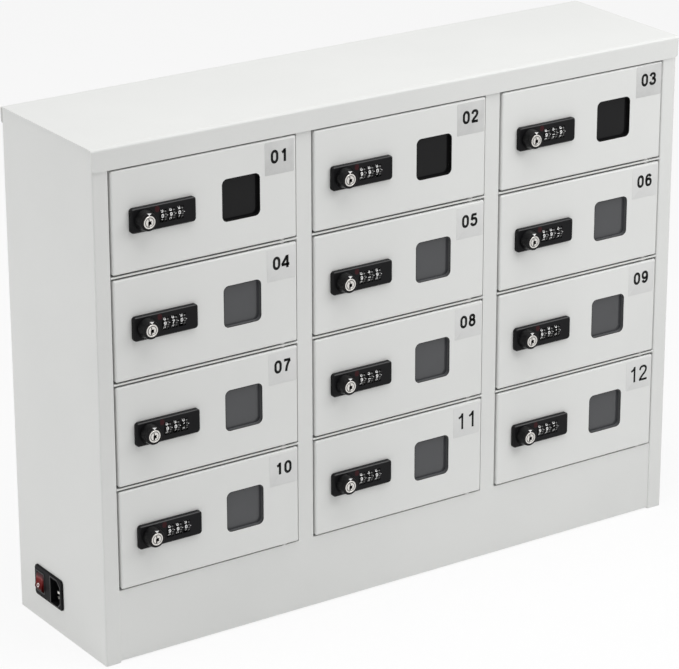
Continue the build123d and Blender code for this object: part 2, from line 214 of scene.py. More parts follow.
def powderCoat(shader, tones, look=powderLook):
    cloud = shader.noise(look["cloud"], detail=3)
    speck = shader.noise(look["speck"], detail=3)
    peel = shader.noise(look["peel"], detail=1)
    pattern = cloud.blend(speck, look["speckShare"]).about(0.5, look["contrast"])
    return shader.surface({
        "Base Color": shader.mix(pattern, tones["shade"], tones["light"]),
        "Roughness": speck.about(look["roughness"], look["swing"]),
        "Normal": shader.bump(peel + speck * look["speckHeight"], look["depth"], look["bump"]),
    })


# Tones are at the darkest and palest spots.
plasticLook = {
    "lock": {
        "dark": (0.0045, 0.0045, 0.005), "pale": (0.0095, 0.0095, 0.0105),
        "grain": 0.28, "depth": 0.02, "roughness": 0.42, "specular": 0.12,
    },
    "bevel": {
        "dark": (0.04, 0.04, 0.041), "pale": (0.07, 0.07, 0.072),
        "grain": 0.28, "depth": 0.01, "roughness": 0.35, "specular": 0.3,
    },
    "knob": {
        "dark": (0.004, 0.004, 0.004), "pale": (0.008, 0.008, 0.009),
        "grain": 0.2, "depth": 0.006, "roughness": 0.34, "specular": 0.14,
    },
    "wheel": {
        "dark": (0.002, 0.002, 0.002), "pale": (0.005, 0.005, 0.005),
        "grain": 0.2, "depth": 0.004, "roughness": 0.4, "specular": 0.06,
    },
    "inlet": {
        "dark": (0.005, 0.005, 0.0055), "pale": (0.011, 0.011, 0.012),
        "grain": 0.3, "depth": 0.015, "roughness": 0.45, "specular": 0.06,
    },
    # toothTip: a paler grey, the painted highlight on tooth tips; the knob's groove uses it as painted
    # shade.
    "toothTip": {
        "dark": (0.05, 0.05, 0.05), "pale": (0.17, 0.17, 0.17),
        "grain": 0.4, "depth": 0.004, "roughness": 0.35, "specular": 0.35,
    },
    "seal": {
        "dark": (0.003, 0.003, 0.003), "pale": (0.006, 0.006, 0.006),
        "grain": 0.35, "depth": 0.01, "roughness": 0.6, "specular": 0.15,
    },
    # sleeve: the seal's inner part below the top row, a paler grey as a painted reflection.
    "sleeve": {
        "dark": (0.11, 0.112, 0.116), "pale": (0.13, 0.132, 0.136),
        "grain": 0.35, "depth": 0.01, "roughness": 0.35, "specular": 0.4,
    },
    "rim": {
        "dark": (0.02, 0.02, 0.021), "pale": (0.035, 0.035, 0.036),
        "grain": 0.3, "depth": 0.01, "roughness": 0.38, "specular": 0.3,
    },
    "charger": {
        "dark": (0.012, 0.012, 0.013), "pale": (0.024, 0.024, 0.026),
        "grain": 0.4, "depth": 0.03, "roughness": 0.5, "specular": 0.3,
    },
}
mouldLook = {"flow": 18, "flowShare": 0.5, "flowSwing": 0.16, "grainSwing": 0.1, "bump": 0.7}


def mouldedPlastic(shader, look, mould=mouldLook):
    grain = shader.noise(look["grain"])
    flow = shader.noise(mould["flow"])
    roughness = grain.about(look["roughness"], mould["grainSwing"])
    return shader.surface({
        "Base Color": shader.mix(grain.blend(flow, mould["flowShare"]), look["dark"], look["pale"]),
        "Roughness": flow.about(roughness, mould["flowSwing"]),
        "Normal": shader.bump(grain, look["depth"], mould["bump"]),
        "Specular IOR Level": look["specular"],
    })


def plastics(shader, *kinds):
    return (mouldedPlastic(shader, plasticLook[kind]) for kind in kinds)


def plasticMaterial(name, kind):
    shader = Shader(name)
    return shader.done(mouldedPlastic(shader, plasticLook[kind]))


metalLook = {
    "chrome": {"dark": (0.62, 0.6, 0.57), "pale": (0.8, 0.78, 0.75), "grain": 0.5, "roughness": 0.2},
    "zinc": {"dark": (0.42, 0.42, 0.41), "pale": (0.6, 0.6, 0.58), "grain": 0.9, "roughness": 0.38},
    "nickel": {"dark": (0.74, 0.71, 0.66), "pale": (0.9, 0.88, 0.84), "grain": 0.4, "roughness": 0.34},
}
platingLook = {"stain": 6, "stainShare": 0.4, "swing": 0.18, "depth": 0.004}
pinGrain = (1, 1, 6)  # finer along a pin than round it


def platedMetal(shader, look, stretch=(1, 1, 1), plating=platingLook):
    grain = shader.noise(look["grain"], 3, stretch)
    stain = shader.noise(plating["stain"])
    return shader.surface({
        "Base Color": shader.mix(grain.blend(stain, plating["stainShare"]), look["dark"], look["pale"]),
        "Metallic": 1.0,
        "Roughness": grain.about(look["roughness"], plating["swing"]),
        "Normal": shader.bump(grain, plating["depth"]),
    })


def metalMaterial(name, kind, stretch=(1, 1, 1)):
    shader = Shader(name)
    return shader.done(platedMetal(shader, metalLook[kind], stretch))


# Faces that only show through the gaps round the doors get a darker paint tone: painted shade in the gaps.
gapSizes = {"halfDoor": 44.1, "doorFrom": 1.9, "shelfFrom": 1.0, "shelfTo": 14}


def shelfMaterial(sizes=gapSizes):
    shader = Shader("shelfPaint")
    depth = shader.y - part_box("shelves")[0].y
    # The shelves' front strip, seen through the gaps, takes the darker gap tones as painted shade.
    gapShadeStrip = (depth > sizes["shelfFrom"] * mm) * (depth < sizes["shelfTo"] * mm)
    return shader.done(shader.either(gapShadeStrip, powderCoat(shader, carcassTones), powderCoat(shader, gapShadeTones)))


# The panes below the top row get a paler base colour, a painted reflection, and a glossier finish; the top
# row's panes are darker.
paneLook = {
    "haze": 22, "dust": 0.8, "dustShare": 0.5, "hazeSwing": 0.1, "dustSwing": 0.06,
    "depth": 0.05, "bump": 0.3,
    "top": {
        "dark": (0.006, 0.006, 0.0065), "pale": (0.0105, 0.0105, 0.011),
        "roughness": 0.14, "specular": 0.16,
    },
    "lower": {
        "dark": (0.056, 0.058, 0.062), "pale": (0.07, 0.072, 0.076),
        "roughness": 0.06, "specular": 0.5,
    },
}


def smokedAcrylic(shader, look=paneLook):
    topRow = shader.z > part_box("door_01")[0].z
    haze = shader.noise(look["haze"])
    dust = shader.noise(look["dust"])

    def pane(row):
        roughness = dust.about(row["roughness"], look["dustSwing"])
        return shader.surface({
            "Base Color": shader.mix(haze.blend(dust, look["dustShare"]), row["dark"], row["pale"]),
            "Roughness": haze.about(roughness, look["hazeSwing"]),
            "Normal": shader.bump(haze, look["depth"], look["bump"]),
            "Specular IOR Level": row["specular"],
        })

    return shader.either(topRow, pane(look["lower"]), pane(look["top"]))


inkLook = {
    "grain": 0.25, "gain": 1.3, "lift": 0.01, "swing": 0.2, "depth": 0.004,
    "numberInk": {"colour": (0.006, 0.006, 0.006), "roughness": 0.5, "specular": 0.08},
    "wheelInk": {"colour": (0.8, 0.8, 0.79), "roughness": 0.4, "specular": 0.5},
    "indexInk": {"colour": (0.8, 0.8, 0.79), "roughness": 0.4, "specular": 0.5},
    "redInk": {"colour": (0.034, 0.005, 0.007), "roughness": 0.4, "specular": 0.1},
    "rockerInk": {"colour": (0.8, 0.7, 0.68), "roughness": 0.4, "specular": 0.5},
}


def inkMaterial(name, look=inkLook):
    shader = Shader(name)
    ink = look[name]
    grain = shader.noise(look["grain"])
    paler = tuple(min(1, part * look["gain"] + look["lift"]) for part in ink["colour"])
    return shader.done(shader.surface({
        "Base Color": shader.mix(grain, ink["colour"], paler),
        "Roughness": grain.about(ink["roughness"], look["swing"]),
        "Normal": shader.bump(grain, look["depth"]),
        "Specular IOR Level": ink["specular"],
    }))


carcassPaint = Shader("carcassPaint")
carcassMaterial = carcassPaint.done(powderCoat(carcassPaint, carcassTones))

# A door's node holds its folded pan, the seal in its window and the pane behind the seal.
# Below the top row, the seal inside the window takes a paler grey, close to the pane's tone: a painted
# reflection, as on the pane.
doorSizes = {
    "sheet": 1.2, "windowMargin": 35.6, "windowSize": 37, "windowCorner": 5,
    "paneLap": 4, "paneSetback": 3.5, "paneThickness": 2, "sleeveFrom": 0.3, "slack": 0.05,
}


def doorMaterial(sizes=doorSizes):
    shader = Shader("doorPaint")
    slack = sizes["slack"]
    low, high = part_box("door_01")
    windowX = (high.x - low.x) / 2 / mm - sizes["windowMargin"] - sizes["windowSize"] / 2
    across, up = shader.fromDoor(windowX)
    depth = shader.y - low.y
    behind = depth > (sizes["sheet"] + slack) * mm
    reach = (sizes["windowSize"] / 2 + sizes["paneLap"] + slack) * mm
    plate = (abs(across) < reach) * (abs(up) < reach) * behind
    plate *= depth < (sizes["paneSetback"] + sizes["paneThickness"] + slack) * mm
    lip = shader.rounded(across, up, sizes["windowSize"] / 2 - slack / 2, sizes["windowCorner"] - slack / 2)
    pane = plate * (depth > (sizes["paneSetback"] - slack) * mm)
    # The deep part of the seal below the top row takes the paler sleeve plastic: a painted reflection.
    deep = (depth > sizes["sleeveFrom"] * mm) * (shader.z < low.z)
    seal = shader.either(deep, *plastics(shader, "seal", "sleeve"))
    # Door edges behind the front sheet take the darker gap tones as painted shade.
    edge = (abs(up) > gapSizes["halfDoor"] * mm) * (depth > gapSizes["doorFrom"] * mm)
    coat = shader.either(edge, powderCoat(shader, doorTones), powderCoat(shader, gapShadeTones))
    painted = shader.either(plate.atLeast(lip * (1 - behind)), coat, seal)
    return shader.done(shader.either(pane, painted, smokedAcrylic(shader)))


# A knob's node holds the grip, the key cylinder with its spindle, the cam and its nut.
# Radii are about its axis, and zincFrom is a depth behind the face of the lock case.
knobSizes = {
    "baseRadius": 8.9, "coreRadius": 5.4, "coreProud": 0.3, "coreSlack": 0.02,
    "keyHole": 3.55, "groove": 4.6, "zincFrom": 4,
}
knobLow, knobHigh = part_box("knob_01")
knobAxis = Vector(((knobLow.x + knobHigh.x) / 2, knobLow.y, knobLow.z + knobSizes["baseRadius"] * mm))
knobFromDoor = (knobAxis - middleOf("door_01")) / mm


def knobMaterial(sizes=knobSizes):
    shader = Shader("knobPlastic")
    across, up = shader.fromDoor(knobFromDoor.x, knobFromDoor.z)
    radius = (across ** 2 + up ** 2) ** 0.5
    behind = shader.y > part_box("lock_case_01")[0].y + sizes["zincFrom"] * mm
    chrome, zinc = (platedMetal(shader, metalLook[kind]) for kind in ("chrome", "zinc"))
    plastic, grooveShade, dark = plastics(shader, "knob", "toothTip", "wheel")
    # The ring round the plug takes grey plastic instead of chrome: painted shade in the groove.
    grooved = shader.either(radius < sizes["groove"] * mm, chrome, grooveShade)
    # Inside the keyhole radius the core is near-black plastic, seen through the keyway: painted shade.
    core = shader.either(radius < sizes["keyHole"] * mm, grooved, dark)
    front = shader.either(radius < (sizes["coreRadius"] + sizes["coreSlack"]) * mm, plastic, core)
    return shader.done(shader.either(behind, front, zinc))


# The bevel along the top of a lock case is paler: a painted highlight where light from above catches it.
caseSizes = {"height": 21.3, "bevel": 1.1, "paleFrom": 0.2, "paleTo": 0.8}


def lockMaterial(sizes=caseSizes):
    shader = Shader("lockPlastic")
    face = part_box("lock_case_01")[0].y
    up = shader.fromDoor()[1]
    # The top bevel's paler plastic is a painted highlight.
    bevel = up > (sizes["height"] / 2 - sizes["bevel"] + sizes["paleFrom"]) * mm
    bevel *= shader.y < face + sizes["paleTo"] * mm
    return shader.done(shader.either(bevel, *plastics(shader, "lock", "bevel")))


# The teeth of a wheel stand past its number band, and their tips get a paler plastic: a painted highlight.
toothSizes = {"tipsFrom": 7.45}


def wheelMaterial(sizes=toothSizes):
    shader = Shader("wheelPlastic")
    up = shader.fromDoor()[1]
    out = shader.y - middleOf("number_wheels_01").y
    tips = (up ** 2 + out ** 2) ** 0.5 > sizes["tipsFrom"] * mm
    return shader.done(shader.either(tips, *plastics(shader, "wheel", "toothTip")))


# The inlet's node holds its housing and the three contacts of the socket.
socketSizes = {
    "fromMiddle": 12.6, "contactsFrom": 2.3, "contactsTo": 16.9,
    "halfWidth": 4.1, "halfHeight": 8.1,
}


def inletMaterial(sizes=socketSizes):
    shader = Shader("inletPlastic")
    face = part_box("power_inlet")[0].x / mm
    middle = middleOf("power_inlet") / mm
    socketY = middle.y - sizes["fromMiddle"]
    contacts = shader.within(
        (face + sizes["contactsFrom"], socketY - sizes["halfWidth"], middle.z - sizes["halfHeight"]),
        (face + sizes["contactsTo"], socketY + sizes["halfWidth"], middle.z + sizes["halfHeight"]),
    )
    plastic = mouldedPlastic(shader, plasticLook["inlet"])
    return shader.done(shader.either(contacts, plastic, platedMetal(shader, metalLook["nickel"])))


# The rocker is clear red plastic, painted palest above its pivot as a painted highlight, and darker at its
# upper end as painted shade.
rockerTones = {
    "halfLength": 8.2, "haze": 5, "hazeShift": 0.25,
    "grain": 0.3, "depth": 0.004, "roughness": 0.3, "swing": 0.12, "specular": 0.03,
    "stops": (
        (0.05, (0.055, 0.008, 0.007)), (0.28, (0.075, 0.004, 0.004)), (0.5, (0.14, 0.01, 0.01)),
        (0.66, (0.17, 0.017, 0.017)), (0.75, (0.25, 0.07, 0.07)), (0.84, (0.12, 0.048, 0.05)),
        (0.98, (0.07, 0.043, 0.046)),
    ),
}


def rockerMaterial(tones=rockerTones):
    shader = Shader("rockerRed")
    haze = shader.noise(tones["haze"])
    grain = shader.noise(tones["grain"])
    height = (shader.z - middleOf("rocker_switch").z) / (2 * tones["halfLength"] * mm) + 0.5
    inputs = {"Fac": haze.about(height, tones["hazeShift"])}
    return shader.done(shader.surface({
        "Base Color": shader.node("ShaderNodeValToRGB", {"stops": tones["stops"]}, inputs),
        "Roughness": grain.about(tones["roughness"], tones["swing"]),
        "Normal": shader.bump(grain, tones["depth"]),
        "Specular IOR Level": tones["specular"],
    }))


nodeMaterials = {
    "door": doorMaterial(),
    "lock_case": lockMaterial(),
    "number_wheels": wheelMaterial(),
    "knob": knobMaterial(),
    "shelves": shelfMaterial(),
    "hinge_pins": metalMaterial("pinSteel", "zinc", pinGrain),
    "power_inlet": inletMaterial(),
    "rocker_switch": rockerMaterial(),
    "charger": plasticMaterial("chargerPlastic", "charger"),
}
for name, node in nodes.items():
    kind = name.rstrip("0123456789").rstrip("_")
    material = nodeMaterials.get(kind, carcassMaterial)
    node.data.materials.clear()
    node.data.materials.append(material)
print("materials on", len(nodes), "nodes")


# Pieces are shaped in mm about the origin, and placed brings them into the frame.

def linked(name, data):
    made = bpy.data.objects.new(name, data)
    bpy.context.scene.collection.objects.link(made)
    return made


def addPiece(name, form, material, body, smooth=30):
    mesh = meshOf(form, name)
    piece = linked(name, mesh)
    mesh.materials.append(material)
    mesh.shade_smooth()
    mesh.set_sharp_from_angle(angle=math.radians(smooth))
    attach(piece, body)
    return piece


def meshOf(form, name):
    bmesh.ops.recalc_face_normals(form, faces=form.faces)
    mesh = bpy.data.meshes.new(name)
    form.to_mesh(mesh)
    form.free()
    return mesh


def join(form, part):
    mesh = meshOf(part, "part")
    form.from_mesh(mesh)
    bpy.data.meshes.remove(mesh)


def roundedPlate(width, height, depth, corner, edge=0, steps=4, edgeSteps=2):  # faces -Y, back at y = 0
    form = bmesh.new()
    bmesh.ops.create_cube(form, size=1)
    bmesh.ops.scale(form, vec=(width, depth, height), verts=form.verts)
    bmesh.ops.translate(form, vec=(0, -depth / 2, 0), verts=form.verts)
    upright = [e for e in form.edges if abs(e.verts[0].co.y - e.verts[1].co.y) > depth / 2]
    bevelEdges(form, upright, corner, steps)
    if edge:
        front = [e for e in form.edges if all(v.co.y < -depth / 2 for v in e.verts)]
        bevelEdges(form, front, edge, edgeSteps)
    return form


def flatPlate(corners, depth):  # outline of (x, z) points in mm, faces -Y, its back at y = 0
    form = bmesh.new()
    face = form.faces.new([form.verts.new((x, 0, z)) for x, z in corners])
    return raised(form, [face], depth)


def flatRim(corners, width, depth):  # a rim round a convex clockwise outline of (x, z) points
    form = bmesh.new()
    points = [Vector(corner) for corner in corners]
    inner, outer = [], []
    for before, here, after in zip(points[-1:] + points[:-1], points, points[1:] + points[:1]):
        first, second = (Vector((-step.y, step.x)).normalized() for step in (here - before, after - here))
        grown = here + (first + second) * width / (1 + first.dot(second))
        inner.append(form.verts.new((here.x, 0, here.y)))
        outer.append(form.verts.new((grown.x, 0, grown.y)))
    sides = zip(inner, outer, outer[1:] + outer[:1], inner[1:] + inner[:1])
    return raised(form, [form.faces.new(side) for side in sides], depth)


def vertsOf(made):
    return [part for part in made["geom"] if isinstance(part, bmesh.types.BMVert)]


def raised(form, faces, depth):
    front = vertsOf(bmesh.ops.extrude_face_region(form, geom=faces, use_keep_orig=True))
    bmesh.ops.translate(form, vec=(0, -depth, 0), verts=front)
    return form


def turnedBy(form, degrees, axis):
    turn = Matrix.Rotation(math.radians(degrees), 3, axis)
    bmesh.ops.rotate(form, verts=form.verts, cent=(0, 0, 0), matrix=turn)


def bevelEdges(form, edges, size, steps):
    bmesh.ops.bevel(form, geom=edges, offset=size, segments=steps, affect="EDGES", profile=0.5, material=-1)


def turned(profile, steps, weld=1e-5):  # closed outline of (radius, y) points, spun about the Y axis
    form = bmesh.new()
    points = [form.verts.new((radius, y, 0)) for radius, y in profile]
    edges = [form.edges.new(pair) for pair in zip(points, points[1:] + points[:1])]
    bmesh.ops.spin(form, geom=points + edges, cent=(0, 0, 0), axis=(0, 1, 0), dvec=(0, 0, 0),
                   angle=2 * math.pi, steps=steps, use_merge=True)
    bmesh.ops.remove_doubles(form, verts=form.verts, dist=weld)
    return form


def placed(form, where):  # where is in metres
    bmesh.ops.scale(form, vec=(mm, mm, mm), verts=form.verts)
    bmesh.ops.translate(form, vec=where, verts=form.verts)
    return form


# Digits are drawn as pen strokes in a cell one unit high, and get their width from a Solidify.
digitStrokes = {
    "0": [
        [(0.38, 0.93), (0.555, 0.83), (0.61, 0.5), (0.555, 0.17),
         (0.38, 0.07), (0.205, 0.17), (0.15, 0.5), (0.205, 0.83), "loop"],
    ],
    "1": [
        [(0.47, 0.0), (0.47, 1.0)],
        [(0.465, 0.93), (0.36, 0.8), (0.21, 0.725)],
    ],
    "2": [
        [(0.13, 0.7), (0.205, 0.87), (0.38, 0.93), (0.555, 0.86),
         (0.6, 0.71), (0.52, 0.52), (0.3, 0.3), (0.13, 0.07)],
        [(0.08, 0.07), (0.68, 0.07)],
    ],
    "3": [
        [(0.13, 0.73), (0.22, 0.88), (0.37, 0.93), (0.53, 0.87),
         (0.575, 0.73), (0.5, 0.59), (0.32, 0.55)],
        [(0.3, 0.52), (0.53, 0.475), (0.615, 0.29), (0.54, 0.13),
         (0.36, 0.07), (0.19, 0.13), (0.115, 0.28)],
    ],
    "4": [
        [(0.53, 0.0), (0.53, 1.0)],
        [(0.5, 0.95), (0.05, 0.27)],
        [(0.01, 0.27), (0.71, 0.27)],
    ],
    "5": [
        [(0.2, 0.93), (0.63, 0.93)],
        [(0.24, 0.97), (0.165, 0.5)],
        [(0.15, 0.52), (0.26, 0.6), (0.39, 0.62), (0.56, 0.54), (0.615, 0.34),
         (0.54, 0.14), (0.36, 0.07), (0.19, 0.13), (0.115, 0.27)],
    ],
    "6": [
        [(0.59, 0.76), (0.52, 0.885), (0.39, 0.93), (0.22, 0.84), (0.15, 0.6),
         (0.15, 0.34), (0.23, 0.13), (0.38, 0.07), (0.55, 0.14), (0.61, 0.32),
         (0.56, 0.51), (0.39, 0.6), (0.22, 0.52), (0.155, 0.4)],
    ],
    "7": [
        [(0.1, 0.93), (0.67, 0.93)],
        [(0.64, 0.9), (0.47, 0.65), (0.345, 0.33), (0.29, 0.0)],
    ],
    "8": [
        [(0.38, 0.93), (0.52, 0.88), (0.565, 0.74), (0.52, 0.6),
         (0.38, 0.545), (0.24, 0.6), (0.195, 0.74), (0.24, 0.88), "loop"],
        [(0.38, 0.545), (0.54, 0.48), (0.61, 0.3), (0.54, 0.13),
         (0.38, 0.07), (0.22, 0.13), (0.15, 0.3), (0.22, 0.48), "loop"],
    ],
}
digitMiddle = 0.38
digitStrokes["9"] = [[(2 * digitMiddle - x, 1 - z) for x, z in stroke] for stroke in digitStrokes["6"]]


def writtenNumber(text, style, depth, steps, weld=0.002):  # faces -Y about its own middle
    height = style["height"]
    curve = bpy.data.curves.new("strokes", "CURVE")
    curve.dimensions = "3D"
    curve.resolution_u = steps
    for place, digit in enumerate(text):
        shift = (place - (len(text) - 1) / 2) * style["advance"] / height - digitMiddle
        for stroke in digitStrokes[digit]:
            points = [p for p in stroke if p != "loop"]
            spline = curve.splines.new("BEZIER")
            spline.bezier_points.add(len(points) - 1)
            spline.use_cyclic_u = "loop" in stroke
            for bezier, (x, z) in zip(spline.bezier_points, points):
                bezier.co = ((x + shift) * height, 0, (z - 0.5) * height)
                bezier.handle_left_type = bezier.handle_right_type = "AUTO"
    lines = bakedMesh(linked("strokes", curve))
    form = bmesh.new()
    form.from_mesh(lines)
    bmesh.ops.remove_doubles(form, verts=form.verts, dist=weld * height)
    bmesh.ops.translate(form, vec=(0, -depth, 0), verts=form.verts)
    sides = vertsOf(bmesh.ops.extrude_edge_only(form, edges=form.edges))
    bmesh.ops.translate(form, vec=(0, depth, 0), verts=sides)
    bmesh.ops.recalc_face_normals(form, faces=form.faces)
    form.to_mesh(lines)
    form.free()
    holder = linked("strokes", lines)
    pen = holder.modifiers.new("pen", "SOLIDIFY")
    pen.thickness = style["pen"]
    pen.offset = 0
    pen.use_even_offset = True
    solid = bmesh.new()
    solid.from_mesh(bakedMesh(holder))
    return solid


def bakedMesh(holder):
    mesh = bpy.data.meshes.new_from_object(holder.evaluated_get(bpy.context.evaluated_depsgraph_get()))
    bpy.data.objects.remove(holder)
    return mesh


# Labels in the top row get a darker film tone than the rest: painted shade.
filmLook = {
    "fibre": 0.6, "cloud": 9, "cloudShare": 0.5, "contrast": 1.2, "paleShare": 0.2,
    "top": (0.56, 0.562, 0.555), "lower": (0.68, 0.682, 0.675), "pale": (0.76, 0.765, 0.755),
    "roughness": 0.38, "swing": 0.15, "depth": 0.006,
}


def labelMaterial(look=filmLook):
    shader = Shader("labelFilm")
    topRow = shader.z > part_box("door_01")[0].z
    fibre = shader.noise(look["fibre"], detail=3)
    cloud = shader.noise(look["cloud"])
    # Top-row labels take the darker film tone: painted shade.
    tone = shader.mix(topRow, look["lower"], look["top"])
    pattern = fibre.blend(cloud, look["cloudShare"]).about(look["paleShare"], look["contrast"])
    return shader.done(shader.surface({
        "Base Color": shader.mix(pattern, tone, look["pale"]),
        "Roughness": fibre.about(look["roughness"], look["swing"]),
        "Normal": shader.bump(fibre, look["depth"]),
    }))


labelLook = {
    "size": 28.4, "depth": 0.12, "corner": 0.6, "edge": 0.03,
    "fromRight": 2.3, "fromTop": 1.9, "ink": 0.03, "curveSteps": 6,
    "digits": {"height": 11.0, "pen": 2.4, "advance": 9.1, "shift": (-0.15, 1.2)},
    "tallDigits": {"height": 15.2, "pen": 2.1, "advance": 11.4, "shift": (-0.1, 0.3)},
    "tallNumbers": ("11", "12"),
    "nudges": {  # stuck on by hand, in mm across and up
        "02": (0.5, 0), "03": (1.5, 1), "04": (1, -0.5), "05": (1, -1), "06": (0.5, -0.5),
        "07": (1.5, -0.5), "08": (0.5, -1), "10": (1.5, -1), "11": (0, -1), "12": (0.5, 0),
    },
}


def addLabels(look=labelLook):
    film = labelMaterial()
    ink = inkMaterial("numberInk")
    size, depth = look["size"], look["depth"]
    fromCorner = Vector((look["fromRight"] + size / 2, 0, look["fromTop"] + size / 2)) * mm
    for number in doorIds:
        low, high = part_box("door_" + number)
        right, up = look["nudges"].get(number, (0, 0))
        middle = Vector((high.x, low.y, high.z)) - fromCorner + Vector((right, 0, up)) * mm
        plate = placed(roundedPlate(size, size, depth, look["corner"], look["edge"]), middle)
        addPiece("label_" + number, plate, film, "door_" + number)
        style = look["tallDigits" if number in look["tallNumbers"] else "digits"]
        written = writtenNumber(number, style, look["ink"], look["curveSteps"])
        across, up = style["shift"]
        digits = placed(written, middle + Vector((across, -depth, up)) * mm)
        addPiece("digits_" + number, digits, ink, "door_" + number)


addLabels()
print("labels done")

# Digits round each wheel, on the plain band at the left of its teeth. Those shown face the front.
wheelLook = {
    "count": 3, "pitch": 8.0, "width": 6.0, "bandWidth": 4.4, "bandRadius": 7.1,
    "digit": {"height": 3.3, "pen": 0.6, "advance": 0},
    "ink": 0.03, "curveSteps": 1, "stretch": 1.15, "shift": 0.4,
    "shown": ("090", "990", "949", "970", "949", "994", "901", "949", "901", "990", "949", "991"),
}


def addWheelDigits(look=wheelLook):
    ink = inkMaterial("wheelInk")
    steps = len(digitStrokes)
    flat = {}
    for digit in digitStrokes:
        flat[digit] = meshOf(writtenNumber(digit, look["digit"], look["ink"], look["curveSteps"]), "digit")
    for number, shown in zip(doorIds, look["shown"]):
        middle = middleOf("number_wheels_" + number)
        form = bmesh.new()
        for wheel in range(look["count"]):
            left = (wheel - (look["count"] - 1) / 2) * look["pitch"] - look["width"] / 2
            across = left + look["bandWidth"] / 2 + look["shift"]
            for step in range(steps):
                before = set(form.verts)
                form.from_mesh(flat[str((int(shown[wheel]) + step) % steps)])
                drawn = [v for v in form.verts if v not in before]
                for vertex in drawn:  # wrap the flat digit round the wheel
                    turn = vertex.co.z / look["bandRadius"]
                    radius = look["bandRadius"] - vertex.co.y
                    vertex.co.y = -radius * math.cos(turn)
                    vertex.co.z = radius * math.sin(turn)
                spin = Matrix.Rotation(math.tau * step / steps, 3, "X")
                bmesh.ops.rotate(form, verts=drawn, cent=(0, 0, 0), matrix=spin)
                bmesh.ops.scale(form, verts=drawn, vec=(look["stretch"], 1, 1))
                bmesh.ops.translate(form, verts=drawn, vec=(across, 0, 0))
        addPiece("wheelDigits_" + number, placed(form, middle), ink, "number_wheels_" + number)
    for mesh in flat.values():
        bpy.data.meshes.remove(mesh)


addWheelDigits()
print("wheel digits done")

# Face of the key cylinder: a rim, a groove and the plug with its keyway.
keyLook = {
    "rimOuter": 5.35, "rimInner": 4.25, "rimDepth": 0.3, "rimEdge": 0.12,
    "plugRadius": 3.6, "plugDepth": 0.22, "steps": 48,
    "keyway": (
        (-1.3, 3.1), (-0.3, 3.3), (0.0, 1.1), (1.9, 1.0), (1.5, -0.6), (1.9, -1.8),
        (0.05, -1.9), (-0.1, -3.2), (-1.4, -3.3), (-1.4, 0.4), (-0.8, 1.2),
    ),
}

# An arrow on the knob, and a red mark and ticks on the case. Plates give width, height, depth and corner.
markLook = {
    "arrow": ((-2.0, 1.2), (2.1, 0.6), (0.2, -1.2)), "arrowUp": 6.7, "arrowDepth": 0.04,
    "red": (4.2, 5.2, 0.05, 1.8), "redAcross": 24.5, "redUp": 6.8,
    "tick": (0.9, 0.5, 0.03, 0.1),
}


def keyFaceForm(look=keyLook):
    outer, inner, depth, edge = (look[key] for key in ("rimOuter", "rimInner", "rimDepth", "rimEdge"))
    front = [(outer, edge - depth), (outer - edge, -depth), (inner + edge, -depth), (inner, edge - depth)]
    form = turned([(inner, 0), (outer, 0), *front], look["steps"])
    plug = bmesh.new()
    bmesh.ops.create_circle(plug, segments=look["steps"], radius=look["plugRadius"], cap_ends=False)
    turnedBy(plug, 90, "X")
    corners = [plug.verts.new((x, 0, z)) for x, z in look["keyway"]]
    for pair in zip(corners, corners[1:] + corners[:1]):
        plug.edges.new(pair)
    bmesh.ops.triangle_fill(plug, use_beauty=True, edges=plug.edges)
    join(form, raised(plug, plug.faces[:], look["plugDepth"]))
    return form


def addLockMarks(key=keyLook, mark=markLook, wheels=wheelLook):
    chrome = metalMaterial("keyChrome", "chrome")
    white = inkMaterial("indexInk")
    red = inkMaterial("redInk")
    for number in doorIds:
        low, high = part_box("knob_" + number)
        face = Vector(((low.x + high.x) / 2, low.y, low.z + knobSizes["baseRadius"] * mm))
        keyFace = placed(keyFaceForm(key), face)
        addPiece("keyFace_" + number, keyFace, chrome, "knob_" + number)
        arrow = flatPlate(mark["arrow"], mark["arrowDepth"])
        placed(arrow, face + Vector((0, knobSizes["coreProud"], mark["arrowUp"])) * mm)
        addPiece("knobIndex_" + number, arrow, white, "knob_" + number)
        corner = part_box("lock_case_" + number)[0]
        leftEnd = Vector((corner.x, corner.y, face.z))
        spot = roundedPlate(*mark["red"])
        placed(spot, leftEnd + Vector((mark["redAcross"], 0, mark["redUp"])) * mm)
        addPiece("redMark_" + number, spot, red, "door_" + number)
        ticks = bmesh.new()
        for place in range(wheels["count"]):  # one at the right of each wheel
            tick = roundedPlate(*mark["tick"])
            shift = (place - wheels["count"] / 2 + 1) * wheels["pitch"]
            bmesh.ops.translate(tick, verts=tick.verts, vec=(shift, 0, 0))
            join(ticks, tick)
        wheel = middleOf("number_wheels_" + number)
        placed(ticks, Vector((wheel.x, corner.y, wheel.z)))
        addPiece("ticks_" + number, ticks, white, "door_" + number)


addLockMarks()
print("lock marks done")

# A ring on the lower half of the rocker's tilted face. Depths are from its pivot.
rockerLook = {
    "ringRadius": 1.5, "ringWidth": 0.8, "below": 3.5, "aside": 0.8, "ink": 0.04, "steps": 28,
    "tilt": 10.0, "crownDepth": 5.2, "dish": 1.0, "halfLength": rockerTones["halfLength"], "roundEnd": 3.6,
}


def rockerDepth(below, look=rockerLook):  # of its face, which is straight and then rounded
    slope, bend = look["dish"] / look["halfLength"], look["roundEnd"]
    edge = look["crownDepth"] - look["dish"]
    past = below - (look["halfLength"] - bend)
    if past < -bend * math.sin(math.atan(slope)):
        return edge + slope * below
    return edge + slope * (below - past) - bend * math.hypot(1, slope) + math.sqrt(bend ** 2 - past ** 2)


